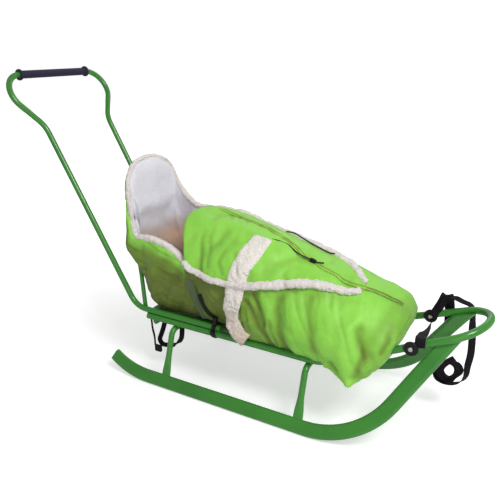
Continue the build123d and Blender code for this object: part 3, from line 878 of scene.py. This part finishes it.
# The rim's places against the way round the tub, from its front end on the right (0)
# round the back (0.5) to its front end on the left (1).
RIM = (
    (0.0, -139, -123, 340), (0.022, -151, -124, 346), (0.063, -174, -124, 366),
    (0.103, -196, -124, 383), (0.157, -226, -124, 394), (0.21, -255, -124, 402),
    (0.266, -286, -124, 403), (0.32, -321, -121, 399), (0.342, -336, -118, 402),
    (0.354, -345, -115, 414), (0.366, -352, -110, 436), (0.378, -358, -106, 460),
    (0.388, -360, -108, 488), (0.397, -361, -109, 512), (0.407, -361, -107, 542),
    (0.42, -361, -97, 566), (0.438, -361, -80, 586), (0.462, -361, -57, 600),
    (0.505, -360, -3, 606), (0.545, -360, 34, 598), (0.575, -358, 64, 586),
    (0.605, -354, 88, 566), (0.64, -344, 98, 530), (0.68, -324, 101, 500),
    (0.715, -303, 104, 478), (0.752, -285, 106, 461), (0.79, -268, 109, 450),
    (0.845, -240, 113, 446), (0.913, -190, 119, 446), (0.98, -151, 123, 446),
    (1.0, -139, 124, 446),
)
rim_place = spline([row[1:] for row in RIM], [row[0] for row in RIM])


def tub(s, z, inset=0.0):
    """The tub's skin, s of the way round it at height z, moved in by inset."""
    rear, right, left, radius = (level(z)[:, k] for k in range(4))
    rear, right, left = rear + inset, right - inset, left - inset
    radius = np.maximum(radius - inset * 0.6, 8.0)
    right, left = np.maximum(right, radius + 2), np.maximum(left, radius + 2)
    x, y = np.zeros_like(s), np.zeros_like(s)
    # the corners run from a to b and from c to d
    a, b, c, d = 0.32, 0.42, 0.60, 0.70
    on = [s < a, s < b, s < c, s < d]
    turn, turn_left = (s - a) / (b - a) * pi / 2, (s - c) / (d - c) * pi / 2
    x = np.select(on, [
        FRONT + (rear + radius - FRONT) * s / a,
        rear + radius - radius * np.sin(turn),
        rear,
        rear + radius - radius * np.cos(turn_left),
    ], rear + radius + (FRONT - rear - radius) * (s - d) / (1 - d))
    y = np.select(on, [
        -right,
        -right + radius - radius * np.cos(turn),
        -right + radius + (left + right - 2 * radius) * (s - b) / (c - b),
        left - radius + radius * np.sin(turn_left),
    ], left)
    return np.stack([x, y, z], axis=-1)


s_line = np.concatenate(
    [np.linspace(0, 0.32, 46), np.linspace(0.3225, 0.42, 44), np.linspace(0.425, 0.60, 44),
     np.linspace(0.605, 0.70, 28), np.linspace(0.71, 1.0, 46)]
)
v_line = np.linspace(0, 1, 70)
ts, tv = np.meshgrid(s_line, v_line, indexing="ij")
TUB_WALL = 21.0
TUB_LOW, LINING_LOW, HOOD_LOW = 184.5, 204.0, 330
TUB_MIDDLE = np.array([-230.0, 0.0, 350.0])
rim_at = rim_place(s_line)
# how far the rim lies from the plain levels, taken up over the hood's height
rim_off = rim_at[:, :2] - tub(s_line, rim_at[:, 2])[:, :2]


def tub_grid(inset, low):
    """The tub's skin from its foot at low up to the rim, moved in by inset."""
    top = rim_at[:, 2:3]
    z = low + tv * (top - low)
    p = tub(ts.ravel(), z.ravel(), inset).reshape(*ts.shape, 3)
    share = clamp((z - HOOD_LOW) / np.maximum(top - HOOD_LOW, 20)) ** 1.5
    p[..., :2] += share[..., None] * rim_off[:, None, :]
    return p


def grid_normals(p):
    return unit(np.cross(np.gradient(p, axis=0), np.gradient(p, axis=1)), TINY)


TUB_FOLDS = (
    (((-150, 338), (-200, 300), (-236, 238)), -5, 10),
    (((-158, 300), (-206, 262), (-232, 206)), 5, 11),
    (((-170, 372), (-230, 340), (-292, 322)), -4, 12),
    (((-150, 262), (-180, 226), (-196, 196)), -4, 9),
    (((-236, 372), (-268, 320), (-276, 232)), 4, 12),
    (((-300, 380), (-296, 322), (-286, 240)), -4, 9),
)
outer = tub_grid(0.0, TUB_LOW)
outer_n = faced(grid_normals(outer), outer - TUB_MIDDLE)
wander = rumple(outer, 60.0, 5, 2) * 8
push = rumple(outer, 80.0, 9, 2) * 4 + rumple(outer, 24.0, 13, 3) * 1.2
side = clamp((-outer[..., 1] - 60) / 40)
add_folds(push, side, TUB_FOLDS, outer[..., 0] + wander, outer[..., 2])
# The backrest hoop's middle line. The cloth keeps HOOP_ROOM clear of it, and the
# lining bulges by HOOP_BULGE over it.
HOOP_ROOM, HOOP_BULGE, BULGE_HALF = 10.0, 15.0, 24
HOOP = ((-309.5, -109.5, 174), (-321.5, -105.5, 290), (-358, -92, 470), (-358, 92, 470),
        (-321.5, 105.5, 290), (-309.5, 109.5, 174))


def from_hoop(p):
    best = np.full(p.shape[:2], FAR)
    for a, b in zip(HOOP, HOOP[1:]):
        a, run = np.array(a, float), np.array(b, float) - np.array(a, float)
        t = clamp(((p - a) @ run) / (run @ run))
        best = np.minimum(best, np.linalg.norm(p - a - t[..., None] * run, axis=-1))
    return best


outer = outer + outer_n * push[..., None]
covered = clamp((outer[..., 2] - 318) / 20)
outer = outer + outer_n * (covered * np.clip(HOOP_ROOM - from_hoop(outer), 0, 9))[..., None]
tub_lean = outer.copy()
tub_lean[..., 2] += 0.3 * outer[..., 0]
tub_creases = creases(tub_lean, (150.0, 150.0, 30.0), 9, 0.16)
outer -= outer_n * (tub_creases * 3.0)[..., None]
inner = tub_grid(TUB_WALL, LINING_LOW)
inner_n = faced(grid_normals(inner), inner - TUB_MIDDLE)
# the pile hangs in a few soft upright waves
wave = 3.5 * np.sin(inner[..., 1] / 21.0 + 0.8) * np.exp(-((inner[..., 0] + 350) / 60) ** 2)
wave += rumple(inner, 40.0, 21, 3) * 3 + rumple(inner, 9.0, 23, 2) * 1.6
bulge = HOOP_BULGE * np.exp(-((from_hoop(inner) / BULGE_HALF) ** 2))
inner = inner - inner_n * (wave + bulge)[..., None]
# at the top both skins close over the rim
rim_line = outer[:, -1] * 0.6 + inner[:, -1] * 0.4
even = np.ones(7) / 7
rim_line = np.stack([np.convolve(np.pad(c, 3, "edge"), even, "valid") for c in rim_line.T], -1)
for skin, deep in ((outer, 8.0), (inner, 34.0)):
    gap = rim_at[:, None, 2] - skin[..., 2]
    near = clamp(1 - gap / deep) ** 2
    skin += (rim_line[:, None, :] - skin) * near[..., None]
# painted shade: the cloth is left lime along the rim and darkened lower down, most on the open
# side, and more in its creases
below_rim = clamp((rim_at[:, None, 2] - outer[..., 2] - 12) / 24)
low_down = clamp((390 - outer[..., 2]) / 190)
open_side = clamp((20 - outer[..., 1]) / 100)
tub_shade = below_rim * (0.72 + 0.36 * low_down) * (0.18 + 0.82 * open_side)
bm = sheet(outer)
mark(bm, tub_shade + tub_creases * (0.1 + 0.24 * open_side))
tub_outer = finished(bm, "muff_tub_cloth", "lime")
bm = sheet(inner)
loose = [vert for vert in bm.verts if not vert.is_boundary]
for _ in range(4):
    bmesh.ops.smooth_vert(
        bm, verts=loose, factor=0.5, use_axis_x=True, use_axis_y=True, use_axis_z=True
    )
finished(bm, "muff_tub_lining", "lining")
# a base pad closes the tub's floor, a little wider in front than at the rear
PAD_X, PAD_Z, PAD_LONG, PAD_THICK = -191, 195.2, 142, 17.5
PAD_HALF_REAR, PAD_HALF_FRONT = 64, 70
bm = bmesh.new()
bmesh.ops.create_cube(bm, size=1.0)
for vert in bm.verts:
    x, y, z = vert.co
    half = PAD_HALF_REAR if x < 0 else PAD_HALF_FRONT
    vert.co = place(PAD_X + x * PAD_LONG, y * 2 * half, PAD_Z + z * PAD_THICK)
bmesh.ops.bevel(
    bm, geom=bm.edges[:], offset=0.006, segments=3, profile=0.5, affect="EDGES", material=-1
)
# painted shade, at half strength, on the pad under the tub
mark(bm, 0.5)
finished(bm, "muff_tub_floor", "lime")
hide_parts("footmuff_tub", "footmuff_back")


# ---- plush rolls
def roll(name, line, radius, finish="plush", squash=1.0, tuft=2.2, turns=22, step=2.6):
    """A soft plush roll along a line of places, its pile in small curls; radius is one
    number or one for each place of the line."""
    run, q, centre, along = evened(line, step, 8)
    radius = np.interp(q, run, np.broadcast_to(np.asarray(radius, float), run.shape))
    a = unit(np.cross(along, np.array(UP)))
    b = np.cross(a, along)
    end = clamp(np.minimum(q, run[-1] - q) / radius)
    size = (radius * np.sqrt(np.maximum(1 - (1 - end) ** 2, 0.02)))[:, None, None]
    w = 2 * pi * np.arange(turns) / turns
    out = a[:, None] * np.cos(w)[None, :, None] + b[:, None] * (np.sin(w) * squash)[None, :, None]
    places = centre[:, None] + out * size
    if tuft:
        push = rumple(places, 5.5, 31, 2) * tuft + rumple(places, 22.0, 33, 2) * tuft
        places = places + unit(out) * push[..., None]
    bm = sheet(places, wrap=True)
    close_ends(bm)
    if finish in ("lime", "olive"):
        mark(bm, 0.0)
    return finished(bm, name, finish)


# the rim is full along the low sides and thin where the hood's lining turns over it
rim_size = np.interp(s_line, [0, 0.3, 0.37, 0.60, 0.70, 1], [9.0, 9.5, 6.5, 6.0, 8.5, 9.0])
roll("muff_rim", rim_line, rim_size)


def edge_line(seam, start, stop, lift):
    """Places on the skin along one of the cover's edges."""
    x = np.arange(start, stop, 4.0)
    return list(skin_at(x, seam(x), lift)[0])


right_line = edge_line(SEAM_RIGHT, -149, 304, 5.0)
right_size = np.interp(
    [p[0] for p in right_line], [-149, -60, 60, 120, 230, 304], [9, 9.5, 11, 13, 12, 8.5]
)
roll("cover_trim_right", [rim_line[0], *right_line], [9.0, *right_size], squash=0.85, tuft=2.8)
left_line = edge_line(SEAM_LEFT, -149, 306, 3.0)
left_size = np.interp(
    [p[0] for p in left_line],
    [-149, -120, -92, -60, 60, 120, 250, 306], [8, 9, 11, 9, 8, 10, 11, 8],
)
roll("cover_trim_left", left_line, left_size, squash=0.85, tuft=2.8)


# The zip's two pipings lie a little way round the bag on each side of its line.
PIPING_ASIDE, PIPING_RADIUS, PIPING_LIFT = 0.035, 1.6, 3.2
piping_x = np.arange(-170, 396, 5.0)
for name, aside in (("zip_piping_right", -PIPING_ASIDE), ("zip_piping_left", PIPING_ASIDE)):
    line, _ = skin_at(piping_x, ZIP(piping_x) + aside, PIPING_LIFT)
    roll(name, line, PIPING_RADIUS, "olive", tuft=0.0, turns=8, step=4.0)

BAND_HALF, BAND_THICK, BAND_TUFT = 26.0, 7.0, 2.0


def band(name, route, finish, left=False, free=()):
    """A plush band down the bag's side: route gives its middle line on the skin as
    (x, height), and free the places where it hangs clear below."""
    around = [around_at(x, z, left) for x, z in route]
    on_bag = bag(np.array([x for x, _ in route], float), np.array(around))
    mids = [tuple(p) for p in on_bag] + list(free)
    way = spline(mids)
    rows, cols = 150, 28
    t = np.linspace(0, way.t[-1], rows)
    p = way(t)
    a = np.interp(t, way.t[: len(route)], around)
    loose = clamp((t - way.t[len(route) - 1]) / 12.0)
    loose = loose[:, None]
    outward = np.array([0.08, 1.0 if left else -1.0, 0.12])
    normal = unit(bag_normal(p[:, 0], a) * (1 - loose) + outward * loose)
    cross = unit(np.cross(unit(np.gradient(p, axis=0)), normal))
    shrink = 1 - 0.2 * clamp((t / way.t[-1] - 0.5) / 0.3)
    top, low = [], []
    for j in range(cols):
        u = -1 + 2 * j / (cols - 1)
        spot = p + cross * (u * BAND_HALF * shrink)[:, None]
        # drop each place back onto the skin by its x and its way round
        around_here = a.copy()
        for _ in range(4):
            for step in (-0.12, -0.03, 0.03, 0.12):
                trial = bag(spot[:, 0], around_here + step)
                here = bag(spot[:, 0], around_here)
                closer = np.linalg.norm(trial - spot, axis=1) < np.linalg.norm(here - spot, axis=1)
                around_here = np.where(closer, around_here + step, around_here)
        n_here = bag_normal(spot[:, 0], around_here)
        on = folded(bag(spot[:, 0], around_here), n_here)
        on = on * (1 - loose) + spot * loose
        n_here = n_here * (1 - loose) + outward * loose
        thick = BAND_THICK * (1 - 0.75 * abs(u) ** 4)
        top.append(on + n_here * (3.0 + thick))
        low.append(on + n_here * 1.0)
    top, low = np.array(top), np.array(low)
    crumple = rumple(top, 6.0, 41, 2) * BAND_TUFT + rumple(top, 26.0, 43, 2) * BAND_TUFT * 1.8
    top = top + faced(grid_normals(top), top - low) * crumple[..., None]
    bm = sheet(np.concatenate([top, low[::-1]]).transpose(1, 0, 2), wrap=True)
    close_ends(bm)
    return finished(bm, name, finish)


strap_right = band(
    "plush_cross_strap",
    [(36, 431), (29, 404), (15, 371), (9, 329), (2, 287), (-1, 240)],
    "warm_plush", free=[(12, -141, 214), (27, -140, 200), (42, -139, 190)],
)
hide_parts("plush_strap_right")
strap_left = band(
    "plush_cross_strap_left",
    [(88, 415), (80, 380), (60, 330), (50, 280), (48, 240)],
    "plush", left=True,
)
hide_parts("plush_strap_left")


def webbing_on_side(name, route, width, finish):
    """Webbing lying down the bag's right side, its route as (x, height)."""
    x = np.array([spot[0] for spot in route], float)
    a = np.array([around_at(*spot, False) for spot in route])
    line = line_of([tuple(p) for p in skin_at(x, a, 2.5)[0]])
    wide = (0.95, 0.1, 0.3)
    return ribbon(name, line, [(0, wide), (1, wide)], width, finish)


webbing_on_side(
    "side_strap_pale", [(-131, 318), (-130, 296), (-121, 256), (-104, 222), (-101, 206)],
    0.021, "grey_webbing",
)
# a dark webbing strip beside the grey strap, laid over a dark area of the side; its darkness
# stands partly for painted shade
webbing_on_side(
    "side_strap_black_and_shade", [(-106, 282), (-97, 258), (-84, 236), (-74, 220), (-70, 206)],
    0.013, "dark_webbing",
)


# ---- small hardware
def turned(name, profile, spot, finish, steps=24):
    """A turned piece: its profile (radius, height) spun about an upright line at spot."""
    bm = bmesh.new()
    at = place(*spot)
    verts = [bm.verts.new(at + Vector((r / 1000, 0, h / 1000))) for r, h in profile]
    edges = [bm.edges.new(pair) for pair in zip(verts, verts[1:])]
    bmesh.ops.spin(
        bm, geom=verts + edges, cent=at, axis=UP, angle=2 * pi,
        steps=steps, use_merge=True, use_duplicate=False,
    )
    bmesh.ops.remove_doubles(bm, verts=bm.verts[:], dist=1e-6)
    return finished(bm, name, finish)


KNOB = [(0, 0), (5.2, 0), (6.6, 1.2), (7.0, 3.5), (6.8, 12), (7.6, 13), (7.6, 19), (6.6, 21.5),
        (0, 22)]
KNOB_ASIDE, KNOB_SINK = 124.0, 1.5
for side, y in (("right", -KNOB_ASIDE), ("left", KNOB_ASIDE)):
    low_corner, high_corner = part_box("handle_clamp_" + side)
    middle = (low_corner[0] + high_corner[0]) * 500 - SHIFT
    turned("clamp_knob_" + side, KNOB, (middle, y, high_corner[2] * 1000 - KNOB_SINK), "black")
SCREW = [(0, 2.6), (2.0, 2.4), (3.6, 1.6), (4.5, 0.4), (4.6, 0)]
SCREW_INSET, SCREW_SINK = 0.020, 0.6
for slat in (1, 2, 3):
    low_corner, high_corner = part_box("seat_slat_%d" % slat)
    y = (low_corner[1] + high_corner[1]) * 500
    z = high_corner[2] * 1000 - SCREW_SINK
    for k, x in enumerate((low_corner[0] + SCREW_INSET, high_corner[0] - SCREW_INSET)):
        turned("slat_screw_%d_%d" % (slat, k), SCREW, (x * 1000 - SHIFT, y, z), "zinc", 16)

# ---- floor, light, world
floor_mesh = bpy.data.meshes.new("floor")
floor_mesh.from_pydata([(-6, -6, 0), (6, -6, 0), (6, 6, 0), (-6, 6, 0)], [], [(0, 1, 2, 3)])
floor = added("floor", floor_mesh)
paper = Finish("white_paper", "E9E9E9", 0.9)
# the lamps reach only the middle of the sheet, so it is shown whiter further out
out = paper.node("VectorMath", {0: paper.node("TexCoord").outputs["Object"]}, operation="LENGTH")
glow = paper.node("MapRange", {
    "Value": out.outputs["Value"], "From Min": 0.5, "From Max": 1.8, "To Min": 0.46, "To Max": 1.0,
})
seen = paper.node("LightPath").outputs["Is Camera Ray"]
shine = paper.node("Math", {0: seen, 1: glow.outputs[0]}, operation="MULTIPLY")
paper.link(shine.outputs[0], "Emission Strength")
paper.set(**{"Emission Color": (1, 1, 1, 1)})
floor_mesh.materials.append(paper.material)


def lamp(name, spot, aim, size, power):
    data = bpy.data.lights.new(name, "AREA")
    data.energy, data.size = power, size
    obj = added(name, data)
    obj.location = spot
    obj.rotation_euler = (Vector(aim) - Vector(spot)).to_track_quat("-Z", "Y").to_euler()
    return obj


key = lamp("key", (1.7, -0.9, 2.4), (0, 0, 0.2), 0.8, 41)
fill = lamp("fill", (1.4, -2.4, 1.1), (0, 0, 0.3), 2.0, 9)
back = lamp("back", (-0.4, 2.6, 2.2), (0, 0, 0.3), 2.2, 14)
# the camera sees white behind everything; the light that comes from it is SKY strong
SKY = 0.40
world = bpy.data.worlds.new("white")
scene.world = world
world.use_nodes = True
shown = world.node_tree.nodes["Background"]
shown.inputs["Color"].default_value = (1, 1, 1, 1)
path = world.node_tree.nodes.new("ShaderNodeLightPath")
strength = world.node_tree.nodes.new("ShaderNodeMath")
strength.operation = "MULTIPLY_ADD"
strength.inputs[1].default_value = 1.0 - SKY
strength.inputs[2].default_value = SKY
world.node_tree.links.new(path.outputs["Is Camera Ray"], strength.inputs[0])
world.node_tree.links.new(strength.outputs[0], shown.inputs["Strength"])
